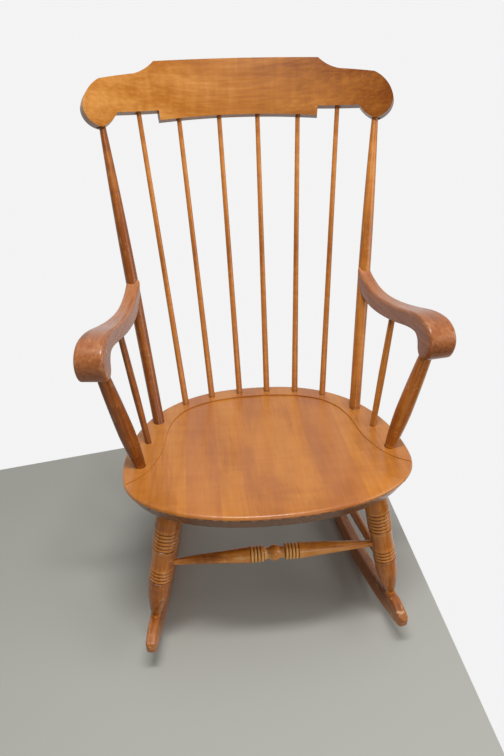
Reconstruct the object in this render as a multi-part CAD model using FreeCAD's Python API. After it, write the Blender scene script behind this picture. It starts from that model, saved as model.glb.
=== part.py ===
import FreeCAD, Part
import math
import os
from FreeCAD import Vector

# Boston rocking chair in solid maple, millimetres.
# +Z is up and the sitter faces -Y. The layout is drawn about the middle of the seat,
# and every piece is then moved so that the origin lies on the floor, midway between
# the chair's front and the rear tips of the rockers.

# Seat: an edge-glued plank with a dished saddle in front of a raised rim
seat_height = 375.7
seat_tilt = 2.35
seat_half_width = 284.0
seat_front_reach = 241.0
seat_back_reach = 229.0
seat_widest = -80.0
seat_front_fullness = 2.15
seat_back_fullness = 2.35
seat_thickness = 36.0
seat_top_round = 6.0
seat_bevel_width = 16.0
seat_bevel_height = 21.0
saddle_depth = 9.0
saddle_length = 232.0
saddle_width = 236.0
rim_step_back = 3.0
rim_step_front = 0.8
rim_step_front_at = -110.0

# Back: two posts, six spindles and a bent crest rail
back_length = 621.0
back_rake = 20.2
spindle_inset = 22.0
spindle_base_x = (32.6, 98.5, 159.7)
spindle_crest_s = (42.4, 131.0, 218.0)
spindle_base_radius = 7.0
spindle_middle_radius = 5.8
spindle_top_radius = 5.0
spindle_seat_depth = 24.0
spindle_crest_depth = 20.0
post_y = 100.0
post_inset = 27.4
post_base_radius = 12.0
post_arm_radius = 13.2
post_upper_radius = 11.4
post_top_radius = 6.8
post_tenon_radius = 9.0
post_crest_depth = 30.0

crest_tilt = 21.0
crest_bend_radius = 652.0
crest_thickness = 24.0
crest_half_length = 334.0
crest_middle_height = 115.0
crest_panel_half = 178.0
crest_panel_corner_height = 104.0
crest_sweep_start = 222.0
crest_sweep_start_height = 76.5
crest_sweep_sag = 4.0
crest_ear_top = 296.0
crest_ear_top_height = 59.5
crest_apron_half = 171.0
crest_apron_drop = 13.0
crest_step = 2.0
crest_shoulder_height = 6.5
crest_ear_neck = 262.0
crest_ear_neck_height = -2.5
crest_ear_radius = 39.0
crest_ear_s = 298.0
crest_ear_drop = 33.5

# Arms
arm_rise = 258.4
arm_flare = 7.4
arm_length = 332.0
arm_back_width = 28.0
arm_front_width = 50.0
arm_thickness = 36.0
arm_scroll_length = 60.0
arm_scroll_drop = 43.0
arm_scroll_rise = 30.0
arm_edge_round = 6.0
arm_cope_setback = 6.0
arm_post_y = -60.0
arm_post_inset = 34.0
arm_post_behind_tip = 36.0
arm_post_top_in = 14.5
arm_post_base_radius = 10.5
arm_post_land = 4.0
arm_post_belly_radius = 15.8
arm_post_belly_share = 0.4
arm_post_top_radius = 12.0
arm_post_tenon_radius = 8.0
arm_spindle_y = 20.2
arm_spindle_inset = 37.0
arm_spindle_ahead = 152.0
arm_spindle_top_in = 14.5
arm_spindle_radius = 6.2
arm_spindle_middle_radius = 7.2
arm_spindle_depth = 20.0
arm_dowel_radius = 4.5
arm_dowel_in_arm = 36.0
arm_dowel_past_axis = 2.0

# Legs: four turnings of one pattern
front_leg_x = 195.0
front_leg_inset = 55.5
front_leg_foot_y = -172.5
rear_leg_x = 155.0
rear_leg_y = 140.0
rear_leg_foot_y = 205.0
leg_top_radius = 18.5
leg_top_land = 9.0
leg_ring_radius = 23.6
leg_waist_radius = 21.6
leg_lower_ring_radius = 22.6
leg_bulb_radius = 21.3
leg_neck_radius = 9.6
leg_foot_radius = 10.6
leg_upper_rings_at = 49.5
leg_upper_rings = 5
leg_lower_rings_at = 144.0
leg_lower_rings = 3
leg_ring_pitch = 8.2
leg_groove_width = 2.6
leg_groove_depth = 1.7
leg_foot_land = 2.0
leg_neck_above_foot = 6.0
leg_shank_radius = 12.0
leg_shank_above_foot = 15.0
leg_bulb_above_foot = 66.0
leg_ring_land = 2.0
leg_seat_tenon_radius = 12.5
leg_foot_tenon_radius = 6.5
leg_foot_tenon = 24.0

# Stretchers
front_stretcher_height = 215.0
rear_stretcher_height = 192.0
side_stretcher_front_height = 144.0
side_stretcher_rear_height = 136.0
stretcher_end_radius = 6.3
stretcher_stop = 5.0
side_stretcher_radius = 10.0
rear_stretcher_radius = 11.0
front_bead_radius = 16.0
front_bead_half = 7.5
front_cove_radius = 11.5
front_cove_end = 21.0
front_ring_radius = 16.5
front_rings = 4
front_ring_pitch = 7.0
front_taper_radius = 11.0
front_taper_at = 125.0

# Rockers: sawn to an arc, closer together behind than in front
rocker_radius = 865.0
rocker_depth = 46.0
rocker_tip_depth = 21.0
rocker_thickness = 21.0
rocker_middle_x = 225.0
rocker_toe_in = 6.8
rocker_low_y = 65.0
rocker_front_y = -243.0
rocker_rear_y = 480.0
rocker_front_shoulder = 56.0
rocker_rear_shoulder = 190.0
rocker_edge_round = 4.0
rocker_pin_radius = 2.5
crest_pin_radius = 2.0
crest_pin_length = 18.0
crest_pin_above_edge = 15.0

# Fits
fit_clearance = 0.12
end_gap = 1.0
socket_sink = 7.0
socket_tenon = 20.0
overshoot = 12.0

up = Vector(0, 0, 1)
front_most_y = min(rocker_front_y, -seat_front_reach)
origin_shift = Vector(0, -(front_most_y + rocker_rear_y) / 2, 0)


def tan(degrees):
    return math.tan(math.radians(degrees))


def sin(degrees):
    return math.sin(math.radians(degrees))


def cos(degrees):
    return math.cos(math.radians(degrees))


def spline(points, closed=False):
    curve = Part.BSplineCurve()
    curve.interpolate(Points=points, PeriodicFlag=closed)
    return curve.toShape()


def arc(start, middle, end):
    return Part.Arc(start, middle, end).toShape()


def line(start, end):
    return Part.LineSegment(start, end).toShape()


def prism(edges, direction):
    face = Part.Face(Part.Wire(Part.__sortEdges__(edges)))
    return face.extrude(direction)


def toward(start, end, distance):
    """The point that lies a distance past start, on the way to end."""
    step = end.sub(start)
    return start.add(step.multiply(distance / step.Length))


def rod(start, end, radius):
    """A round bar between two points, which also serves as a drill."""
    return Part.makeCylinder(radius, start.distanceToPoint(end), start, end.sub(start))


def stand_between(shape, start, end):
    """Turn a piece made along +Z so that it starts at one point and heads for the other."""
    shape.Placement = FreeCAD.Placement(start, FreeCAD.Rotation(up, end.sub(start)))
    return shape


def mirrored(shape):
    return shape.mirror(Vector(0, 0, 0), Vector(1, 0, 0))


class Turning:
    """The half outline of a lathe piece, from its low end up, then spun about +Z."""

    def __init__(self, radius, height):
        self.low = Vector(0, 0, height)
        self.here = Vector(radius, 0, height)
        self.edges = [line(self.low, self.here)]

    def to(self, radius, height):
        there = Vector(radius, 0, height)
        self.edges.append(line(self.here, there))
        self.here = there
        return self

    def over(self, middle_radius, middle_height, radius, height):
        there = Vector(radius, 0, height)
        self.edges.append(arc(self.here, Vector(middle_radius, 0, middle_height), there))
        self.here = there
        return self

    def groove(self, width, depth, land):
        """A V cut of the given width, then a flat land at the same radius."""
        radius = self.here.x
        height = self.here.z
        self.to(radius - depth, height + width / 2)
        self.to(radius, height + width)
        if land > 0:
            self.to(radius, height + width + land)
        return self

    def solid(self):
        high = Vector(0, 0, self.here.z)
        edges = self.edges + [line(self.here, high), line(high, self.low)]
        face = Part.Face(Part.Wire(edges))
        return face.revolve(Vector(0, 0, 0), up, 360)


# Seat plan: two half superellipses that meet at the widest point

def seat_edge_x(y):
    """Half width of the seat at a distance y behind its middle."""
    if y < seat_widest:
        reach = (seat_widest - y) / (seat_front_reach + seat_widest)
        fullness = seat_front_fullness
    else:
        reach = (y - seat_widest) / (seat_back_reach - seat_widest)
        fullness = seat_back_fullness
    return seat_half_width * max(0.0, 1 - reach ** fullness) ** (1 / fullness)


def seat_front_y(x):
    share = 1 - (x / seat_half_width) ** seat_front_fullness
    return seat_widest - (seat_front_reach + seat_widest) * share ** (1 / seat_front_fullness)


def seat_back_y(x):
    share = 1 - (x / seat_half_width) ** seat_back_fullness
    return seat_widest + (seat_back_reach - seat_widest) * share ** (1 / seat_back_fullness)


def seat_plan(height):
    """The closed seat outline, stepped evenly in angle round the plan."""
    steps = 20
    points = []
    for step in range(steps):
        angle = 2 * math.pi * step / steps
        side, along = math.cos(angle), math.sin(angle)
        front = along < 0
        fullness = seat_front_fullness if front else seat_back_fullness
        reach = seat_front_reach + seat_widest if front else seat_back_reach - seat_widest
        x = math.copysign(abs(side) ** (2 / fullness), side) * seat_half_width
        y = math.copysign(abs(along) ** (2 / fullness), along) * reach + seat_widest
        points.append(Vector(x, y, height))
    return spline(points, closed=True)


def to_deck(shape):
    """Lay a piece drawn flat at height 0 onto the tilted deck of the seat."""
    shape.rotate(Vector(0, 0, 0), Vector(1, 0, 0), -seat_tilt)
    shape.translate(Vector(0, 0, seat_height))
    return shape


def deck_point(x, y, below=0.0):
    flat = Vector(x, y, -below)
    turn = FreeCAD.Rotation(Vector(1, 0, 0), -seat_tilt)
    return turn.multVec(flat).add(Vector(0, 0, seat_height))


# Crest rail frame: s runs along the bend, w up the rail, both from its bottom edge's middle

spindle_line_y = seat_back_y(0) - spindle_inset
crest_foot = deck_point(0, spindle_line_y).add(
    Vector(0, back_length * sin(back_rake), back_length * cos(back_rake)))
crest_up = Vector(0, sin(crest_tilt), cos(crest_tilt))
crest_back = Vector(0, cos(crest_tilt), -sin(crest_tilt))


def crest_flat(s, w):
    """A point of the rail's outline, on the flat sheet through its middle thickness."""
    x = crest_bend_radius * math.sin(s / crest_bend_radius)
    return crest_foot.add(Vector(x, 0, 0)).add(Vector(crest_up).multiply(w))


def crest_point(s, w):
    """The same point carried onto the middle of the bent rail."""
    forward = crest_bend_radius * (1 - math.cos(s / crest_bend_radius))
    return crest_flat(s, w).sub(Vector(crest_back).multiply(forward))


def crest_lower_edge(s):
    """Height of the rail's bottom edge over the bend."""
    if s <= crest_apron_half:
        return -crest_apron_drop * (s / crest_apron_half) ** 2
    share = (s - crest_apron_half) / (crest_ear_neck - crest_apron_half)
    return crest_shoulder_height + share * (crest_ear_neck_height - crest_shoulder_height)


# Rocker frame: distance along the rocker is measured from the low point

def rocker_x(y):
    return rocker_middle_x - y * tan(rocker_toe_in)


def rocker_along(y):
    return (y - rocker_low_y) / cos(rocker_toe_in)


def rocker_top(along):
    inner = rocker_radius - rocker_depth
    return rocker_radius - math.sqrt(inner ** 2 - along ** 2)


# Places where the pieces meet, on the sitter's left (+X)

post_base_x = seat_edge_x(post_y) - post_inset
post_base = deck_point(post_base_x, post_y)
post_top = crest_point(crest_ear_s, -crest_ear_drop)

arm_post_base = deck_point(seat_edge_x(arm_post_y) - arm_post_inset, arm_post_y)
arm_spindle_base = deck_point(seat_edge_x(arm_spindle_y) - arm_spindle_inset, arm_spindle_y)
arm_level = seat_height + arm_rise
post_at_arm = post_base.add(post_top.sub(post_base).multiply(
    (arm_level - post_base.z) / (post_top.z - post_base.z)))
arm_out = Vector(cos(arm_flare), sin(arm_flare), 0)
arm_ahead = Vector(sin(arm_flare), -cos(arm_flare), 0)
arm_root = post_at_arm.sub(Vector(arm_out).multiply(arm_back_width / 2))


def arm_place(out, ahead, rise):
    """A point of the arm: out from its inner face, ahead of the post, above its lowest dip."""
    point = arm_root.add(Vector(arm_out).multiply(out))
    point = point.add(Vector(arm_ahead).multiply(ahead))
    return point.add(Vector(0, 0, rise))


arm_post_top = arm_place(arm_post_top_in, arm_length - arm_post_behind_tip, -arm_scroll_drop)
arm_spindle_top = arm_place(arm_spindle_top_in, arm_spindle_ahead, 7 - arm_thickness)


def leg_ends(top_x, top_y, foot_y):
    """The leg's axis, from the seat's underside to the rocker's top edge."""
    top = deck_point(top_x, top_y, seat_thickness)
    foot = Vector(rocker_x(foot_y), foot_y, rocker_top(rocker_along(foot_y)))
    return top, foot


front_leg_top, front_leg_foot = leg_ends(
    front_leg_x, seat_front_y(front_leg_x) + front_leg_inset, front_leg_foot_y)
rear_leg_top, rear_leg_foot = leg_ends(rear_leg_x, rear_leg_y, rear_leg_foot_y)


def at_height(top, foot, height):
    """The point of a leg's axis at a height above the floor."""
    share = (top.z - height) / (top.z - foot.z)
    return top.add(foot.sub(top).multiply(share))


# Sockets: a shallow bed that takes the shoulder, then a blind hole for the tenon

def socket(surface, away, radius, tenon_radius, tenon_length):
    """Cutter for a shouldered end that enters at surface and comes from away."""
    inside = toward(surface, away, -socket_sink)
    bottom = toward(surface, away, -(socket_sink + tenon_length + end_gap))
    bed = rod(toward(surface, away, overshoot), inside, radius + fit_clearance)
    hole = rod(inside, bottom, tenon_radius + fit_clearance)
    return bed.fuse(hole)


def plain_socket(surface, away, radius, depth):
    """Cutter for an end that goes in at its full thickness."""
    bottom = toward(surface, away, -(depth + end_gap))
    return rod(toward(surface, away, overshoot), bottom, radius + fit_clearance)


def make_seat():
    plan = seat_plan(0)
    blank = Part.Face(Part.Wire(plan)).extrude(Vector(0, 0, -seat_thickness))
    rims = {"top": [], "bottom": []}
    for edge in blank.Edges:
        box = edge.BoundBox
        if box.ZMax - box.ZMin < 0.01:
            rims["top" if box.ZMax > -1 else "bottom"].append(edge)
    blank = blank.makeFillet(seat_top_round, rims["top"])
    rims["bottom"] = [edge for edge in blank.Edges
                      if edge.BoundBox.ZMax < -seat_thickness + 0.01]
    blank = blank.makeChamfer(seat_bevel_height, seat_bevel_width, rims["bottom"])
    return to_deck(blank.cut(make_saddle_cutter()))


def saddle_surface(x, y):
    """Depth of the saddle under the deck: a shallow bowl on a gently sloping floor."""
    slope = (rim_step_back - rim_step_front) / (seat_back_reach - rim_step_front_at)
    floor = rim_step_front + slope * (y - rim_step_front_at)
    spread = (x / saddle_width) ** 2 + (y / saddle_length) ** 2
    bowl = max(0.0, 1 - spread) ** 2
    return -floor - saddle_depth * bowl


def make_saddle_cutter():
    """The wood that is scooped out in front of the rim."""
    columns = 9
    rows = 9
    span_x = 1.1 * seat_half_width
    low_y = -1.15 * seat_front_reach
    high_y = seat_back_reach
    grid = []
    for column in range(columns):
        x = -span_x + 2 * span_x * column / (columns - 1)
        strip = []
        for row in range(rows):
            y = low_y + (high_y - low_y) * row / (rows - 1)
            strip.append(Vector(x, y, saddle_surface(x, y)))
        grid.append(strip)
    sheet = Part.BSplineSurface()
    sheet.interpolate(grid)
    scoop = sheet.toShape().extrude(Vector(0, 0, 3 * saddle_depth))
    return scoop.common(make_saddle_outline())


def make_saddle_outline():
    """Prism inside the rim line, which flares out to the sides ahead of the arm posts."""
    side = [(0.0, 0.817), (0.22, 0.797), (0.40, 0.74), (0.56, 0.62), (0.655, 0.45),
            (0.705, 0.22), (0.735, -0.06), (0.775, -0.22), (0.85, -0.39), (0.95, -0.49),
            (1.10, -0.545)]
    half = [Vector(across * seat_half_width, back * seat_back_reach, -2 * saddle_depth)
            for across, back in side]
    other = [Vector(-point.x, point.y, point.z) for point in reversed(half[1:])]
    line_round = other + half
    front = -1.1 * seat_front_reach
    right = Vector(half[-1].x, front, half[-1].z)
    left = Vector(-half[-1].x, front, half[-1].z)
    edges = [spline(line_round), line(half[-1], right), line(right, left), line(left, line_round[0])]
    return prism(edges, Vector(0, 0, 4 * saddle_depth))


def make_crest():
    """The rail is sawn to its outline from a bent slab."""
    outer = crest_bend_radius + crest_thickness / 2
    inner = crest_bend_radius - crest_thickness / 2
    axis_foot = crest_foot.sub(Vector(crest_back).multiply(crest_bend_radius))
    low = axis_foot.sub(Vector(crest_up).multiply(crest_middle_height))
    tall = 4 * crest_middle_height
    slab = Part.makeCylinder(outer, tall, low, crest_up)
    slab = slab.cut(Part.makeCylinder(inner, tall, low, crest_up))
    top = arc(crest_flat(crest_panel_half, crest_panel_corner_height),
              crest_flat(0, crest_middle_height),
              crest_flat(-crest_panel_half, crest_panel_corner_height))
    bottom = arc(crest_flat(crest_apron_half, -crest_apron_drop), crest_flat(0, 0),
                 crest_flat(-crest_apron_half, -crest_apron_drop))
    outline = crest_outline(1) + crest_outline(-1) + [top, bottom]
    cutter = prism(outline, Vector(crest_back).multiply(crest_bend_radius / 2))
    cutter.translate(Vector(crest_back).multiply(-crest_bend_radius / 4))
    return slab.common(cutter)


def crest_outline(side):
    """One end of the rail: apron corner, ear and the sweep up to the middle panel."""
    def at(s, w):
        return crest_flat(side * s, w)

    ear_s = crest_half_length - crest_ear_radius
    ear_w = crest_ear_radius - crest_ear_drop
    diagonal = crest_ear_radius * cos(45)
    corner = at(crest_apron_half, -crest_apron_drop)
    shoulder = at(crest_apron_half + crest_step, crest_shoulder_height)
    neck = at(crest_ear_neck, crest_ear_neck_height)
    low = at(ear_s, -crest_ear_drop)
    out = at(crest_half_length, ear_w)
    ear_top = at(crest_ear_top, crest_ear_top_height)
    sweep = at(crest_sweep_start, crest_sweep_start_height)
    panel = at(crest_panel_half, crest_panel_corner_height)

    def between(s_1, w_1, s_2, w_2, bulge):
        """Middle of a shallow arc that bulges up from its chord."""
        return at((s_1 + s_2) / 2, (w_1 + w_2) / 2 + bulge)

    return [
        line(corner, shoulder),
        line(shoulder, neck),
        arc(neck, between(crest_ear_neck, crest_ear_neck_height, ear_s, -crest_ear_drop,
                          -0.13 * crest_ear_radius), low),
        arc(low, at(ear_s + diagonal, ear_w - diagonal), out),
        arc(out, between(crest_half_length, ear_w, crest_ear_top, crest_ear_top_height,
                         0.29 * crest_ear_radius), ear_top),
        arc(ear_top, between(crest_ear_top, crest_ear_top_height, crest_sweep_start,
                             crest_sweep_start_height, 0.2 * crest_sweep_sag), sweep),
        arc(sweep, between(crest_sweep_start, crest_sweep_start_height, crest_panel_half,
                           crest_panel_corner_height, -crest_sweep_sag), panel),
    ]


def make_arm():
    """Side profile with a rolled-over front, sawn again to its plan, then rounded over."""
    tip = arm_length
    run = arm_length - arm_scroll_length
    drop = -arm_scroll_drop
    rise = arm_scroll_rise
    under = -arm_thickness

    def side(ahead, height):
        return arm_place(-overshoot, ahead, height)

    outline = spline([
        side(-overshoot, 29), side(0.125 * run, 8), side(0.31 * run, 0), side(0.48 * run, 2.5),
        side(0.63 * run, 8.5), side(0.79 * run, rise - 12), side(0.925 * run, rise - 3),
        side(tip - 54, rise), side(tip - 30, rise - 2.5), side(tip - 12, rise - 12),
        side(tip - 2, 4), side(tip, -9), side(tip - 4, -25),
        side(tip - 12, drop + 6), side(tip - 26, drop), side(tip - 39, drop + 2.5),
        side(tip - 47, drop + 13), side(tip - 51, drop + 27), side(tip - 58, drop + 35),
        side(tip - 72, drop + 37), side(0.79 * run, -14.5), side(0.61 * run, under + 9.5),
        side(0.42 * run, under + 1), side(0.24 * run, under - 1), side(0.05 * run, under + 8),
        side(-overshoot, under + 15)])
    back = line(side(-overshoot, under + 15), side(-overshoot, 29))
    profile = prism([outline, back], Vector(arm_out).multiply(2 * arm_front_width))

    def plan(out, ahead):
        return arm_place(out, ahead, -2 * arm_scroll_drop)

    inner = line(plan(0, -2 * overshoot), plan(0, tip + overshoot))
    front = line(plan(0, tip + overshoot), plan(arm_front_width + 1, tip + overshoot))
    outer = spline([plan(arm_front_width + 1, tip + overshoot), plan(arm_front_width, tip - 40),
                    plan(arm_front_width - 6, 0.87 * run), plan(arm_back_width + 5, 0.55 * run),
                    plan(arm_back_width + 1, 0.22 * run), plan(arm_back_width, -2 * overshoot)])
    end = line(plan(arm_back_width, -2 * overshoot), plan(0, -2 * overshoot))
    board = prism([inner, front, outer, end], Vector(0, 0, 4 * arm_scroll_drop))
    arm = round_over_arm(profile.common(board))
    return arm.cut(make_cope())


def round_over_arm(arm):
    """Ease the long edges, which run along the arm on both of its sides."""
    edges = []
    for edge in arm.Edges:
        outs = [point.sub(arm_root).dot(arm_out) for point in edge.discretize(5)]
        inside = max(abs(out) for out in outs) < 0.5
        outside = min(outs) > arm_back_width - 1.0
        behind = max(point.sub(arm_root).dot(arm_ahead) for point in edge.discretize(5)) < 0
        if (inside or outside) and not behind:
            edges.append(edge)
    return arm.makeFillet(arm_edge_round, edges)


def make_cope():
    """Everything behind a line just ahead of the back post, and the post's own hollow."""
    turn = FreeCAD.Rotation(up, post_top.sub(post_base))
    size = 8 * post_arm_radius
    block = Part.makeBox(size, size, 2 * size)
    block.translate(Vector(-size / 2, -arm_cope_setback, -size))
    block.Placement = FreeCAD.Placement(post_at_arm, turn).multiply(block.Placement)
    hollow = rod(post_base, post_top, post_arm_radius + fit_clearance)
    return block.fuse(hollow)


def make_back_post():
    """Slightly fuller at the arm, then drawn in to a slim end in the crest rail."""
    length = post_base.distanceToPoint(post_top)
    at_arm = post_base.distanceToPoint(post_at_arm)
    post = Turning(post_tenon_radius, -socket_sink - socket_tenon)
    post.to(post_tenon_radius, -socket_sink).to(post_base_radius, -socket_sink)
    post.to(post_base_radius, 0).to(post_arm_radius, at_arm)
    post.over(post_upper_radius, (at_arm + length) / 2, post_top_radius, length)
    post.to(post_top_radius, length + post_crest_depth)
    return stand_between(post.solid(), post_base, post_top)


def make_spindle(base, top, base_radius, middle_radius, top_radius, top_depth):
    length = base.distanceToPoint(top)
    spindle = Turning(base_radius, -spindle_seat_depth)
    spindle.to(base_radius, 0).to(middle_radius, 0.5 * length)
    spindle.to(top_radius, length).to(top_radius, length + top_depth)
    return stand_between(spindle.solid(), base, top)


def make_arm_post():
    """A long belly below the middle, with a shouldered tenon at each end."""
    length = arm_post_base.distanceToPoint(arm_post_top)
    belly = arm_post_belly_share * length
    swell = (2 * arm_post_belly_radius + arm_post_base_radius) / 3
    ease = (2 * arm_post_belly_radius + arm_post_top_radius) / 3
    post = Turning(arm_post_tenon_radius, -socket_sink - socket_tenon)
    post.to(arm_post_tenon_radius, -socket_sink).to(arm_post_base_radius, -socket_sink)
    post.to(arm_post_base_radius, arm_post_land)
    post.over(swell, 0.5 * belly, arm_post_belly_radius, belly)
    post.over(ease, (belly + length) / 2, arm_post_top_radius, length)
    post.to(arm_post_top_radius, length + socket_sink)
    post.to(arm_post_tenon_radius, length + socket_sink)
    post.to(arm_post_tenon_radius, length + socket_sink + socket_tenon)
    return stand_between(post.solid(), arm_post_base, arm_post_top)


def make_leg(top, foot):
    """Foot, slim neck, long bulb, three rings, waist, five rings and a taper to the seat."""
    length = top.distanceToPoint(foot)
    land = leg_ring_pitch - leg_groove_width
    lower_low = length - leg_lower_rings_at - leg_lower_rings * leg_ring_pitch - leg_groove_width
    upper_low = length - leg_upper_rings_at - leg_upper_rings * leg_ring_pitch - leg_groove_width
    waist = (lower_low + leg_lower_rings * leg_ring_pitch + upper_low) / 2
    upper_high = length - leg_upper_rings_at + leg_ring_land
    top_start = length - leg_top_land
    calf = (leg_shank_above_foot + leg_bulb_above_foot) / 2
    calf_radius = 0.4 * leg_shank_radius + 0.6 * leg_bulb_radius
    neckline_radius = 0.25 * leg_top_radius + 0.75 * leg_ring_radius
    leg = Turning(leg_foot_radius, -2 * leg_foot_radius).to(leg_foot_radius, leg_foot_land)
    leg.over(leg_neck_radius, leg_neck_above_foot, leg_shank_radius, leg_shank_above_foot)
    leg.over(calf_radius, calf, leg_bulb_radius, leg_bulb_above_foot)
    leg.to(leg_lower_ring_radius, lower_low)
    for ring in range(leg_lower_rings):
        leg.groove(leg_groove_width, leg_groove_depth, land)
    leg.groove(leg_groove_width, leg_groove_depth, leg_ring_land)
    leg.over(leg_waist_radius, waist, leg_ring_radius, upper_low)
    for ring in range(leg_upper_rings):
        leg.groove(leg_groove_width, leg_groove_depth, land)
    leg.groove(leg_groove_width, leg_groove_depth, leg_ring_land)
    leg.over(neckline_radius, (upper_high + top_start) / 2, leg_top_radius, top_start)
    leg.to(leg_top_radius, length + socket_sink)
    leg.to(leg_seat_tenon_radius, length + socket_sink)
    leg.to(leg_seat_tenon_radius, length + socket_sink + socket_tenon)
    leg = stand_between(leg.solid(), foot, top)
    leg = leg.cut(set_rocker(make_rocker_blank(4 * rocker_thickness)))
    tenon = rod(toward(foot, top, leg_foot_tenon), toward(foot, top, -leg_foot_tenon),
                leg_foot_tenon_radius)
    return leg.fuse(tenon).removeSplitter()


def stretcher_ends(start, end):
    """A stretcher stops a little short of the two leg axes that it runs between."""
    return toward(start, end, stretcher_stop), toward(end, start, stretcher_stop)


def make_plain_stretcher(start, end, middle_radius):
    low, high = stretcher_ends(start, end)
    length = low.distanceToPoint(high)
    in_leg = leg_waist_radius
    quarter_radius = 0.7 * middle_radius + 0.3 * stretcher_end_radius
    bar = Turning(stretcher_end_radius, 0).to(stretcher_end_radius, in_leg)
    bar.over(quarter_radius, (in_leg + length / 2) / 2, middle_radius, length / 2)
    bar.over(quarter_radius, length - (in_leg + length / 2) / 2,
             stretcher_end_radius, length - in_leg)
    bar.to(stretcher_end_radius, length)
    return stand_between(bar.solid(), low, high)


def make_front_stretcher(start, end):
    """Long tapers in to two groups of rings, with a bead between coves in the middle."""
    low, high = stretcher_ends(start, end)
    half = low.distanceToPoint(high) / 2
    ring_end = front_cove_end + front_rings * front_ring_pitch
    land = front_ring_pitch - leg_groove_width
    bar = Turning(stretcher_end_radius, -half)
    bar.to(stretcher_end_radius, -half + leg_waist_radius - stretcher_stop)
    bar.over(front_taper_radius, -front_taper_at, front_ring_radius, -ring_end)
    for ring in range(front_rings):
        bar.groove(leg_groove_width, leg_groove_depth, land)
    bar.to(front_cove_radius + 2, -front_cove_end + 1)
    cove_middle = -(front_cove_end + front_bead_half) / 2
    bar.over(front_cove_radius, cove_middle, front_cove_radius + 2, -front_bead_half - 1)
    bar.over(front_bead_radius, 0, front_cove_radius + 2, front_bead_half + 1)
    bar.over(front_cove_radius, -cove_middle, front_cove_radius + 2, front_cove_end - 1)
    bar.to(front_ring_radius, front_cove_end)
    for ring in range(front_rings):
        bar.to(front_ring_radius, front_cove_end + ring * front_ring_pitch + land)
        bar.groove(leg_groove_width, leg_groove_depth, 0)
    bar.over(front_taper_radius, front_taper_at,
             stretcher_end_radius, half - leg_waist_radius + stretcher_stop)
    bar.to(stretcher_end_radius, half)
    middle = low.add(high).multiply(0.5)
    return stand_between(bar.solid(), middle, high)


def rocker_level(along, depth):
    """Height of a curve that lies a depth inside the rocker's bottom arc."""
    return rocker_radius - math.sqrt((rocker_radius - depth) ** 2 - along ** 2)


def make_rocker_blank(thickness):
    """Deep between the legs, tapering to a rounded tip in front and a long tail behind."""
    front = rocker_along(rocker_front_y)
    rear = rocker_along(rocker_rear_y)
    half_way = 0.62 * rocker_depth + 0.38 * rocker_tip_depth

    def at(along, depth):
        return Vector(-thickness / 2, along, rocker_level(along, depth))

    shoulder_front = front + rocker_front_shoulder
    shoulder_rear = rear - rocker_rear_shoulder
    inner = rocker_radius - rocker_depth

    def top_slope(along):
        return Vector(0, math.sqrt(inner ** 2 - along ** 2), along)

    front_taper = Part.BSplineCurve()
    front_taper.interpolate(
        Points=[at(front, rocker_tip_depth), at((front + shoulder_front) / 2, half_way),
                at(shoulder_front, rocker_depth)],
        InitialTangent=Vector(0, 1, 0.15), FinalTangent=top_slope(shoulder_front))
    rear_taper = Part.BSplineCurve()
    rear_taper.interpolate(
        Points=[at(shoulder_rear, rocker_depth), at((rear + shoulder_rear) / 2, half_way),
                at(rear, rocker_tip_depth)],
        InitialTangent=top_slope(shoulder_rear), FinalTangent=Vector(0, 1, 0.22))
    edges = [
        arc(at(front, 0), at(0, 0), at(rear, 0)),
        line(at(rear, 0), at(rear, rocker_tip_depth)),
        rear_taper.toShape(),
        arc(at(shoulder_rear, rocker_depth), at(0, rocker_depth), at(shoulder_front, rocker_depth)),
        front_taper.toShape(),
        line(at(front, rocker_tip_depth), at(front, 0)),
    ]
    blank = prism(edges, Vector(thickness, 0, 0))
    corners = [edge for edge in blank.Edges
               if edge.BoundBox.XLength > thickness / 2
               and not shoulder_front - 1 < edge.CenterOfMass.y < shoulder_rear + 1]
    return blank.makeFillet(0.42 * rocker_tip_depth, corners)


def set_rocker(shape):
    """Turn a rocker drawn over the Y axis to its toe-in and stand it under the legs."""
    shape.rotate(Vector(0, 0, 0), up, rocker_toe_in)
    shape.translate(Vector(rocker_x(rocker_low_y), rocker_low_y, 0))
    return shape


def make_rocker():
    blank = make_rocker_blank(rocker_thickness)
    rims = [edge for edge in blank.Edges if edge.BoundBox.XLength < 0.1]
    return set_rocker(blank.makeFillet(rocker_edge_round, rims))


def save(name, shape):
    shape = shape.copy()
    shape.translate(origin_shift)
    solids = shape.Solids
    shape = solids[0] if len(solids) == 1 else Part.makeCompound(solids)
    shape.exportStep("parts/" + name + ".step")
    print(name, len(solids), "solid", round(shape.Volume / 1000, 1), "cm3", shape.isValid())


def save_pair(name, shape):
    """The sitter's left is +X, and the right-hand piece is its mirror image."""
    save(name + "_left", shape)
    save(name + "_right", mirrored(shape))


def spindle_points():
    ends = []
    for base_x, crest_s in zip(spindle_base_x, spindle_crest_s):
        base = deck_point(base_x, seat_back_y(base_x) - spindle_inset)
        ends.append((base, crest_point(crest_s, crest_lower_edge(crest_s))))
    return ends


def both_sides(cutters):
    return cutters + [mirrored(cutter) for cutter in cutters]


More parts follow.
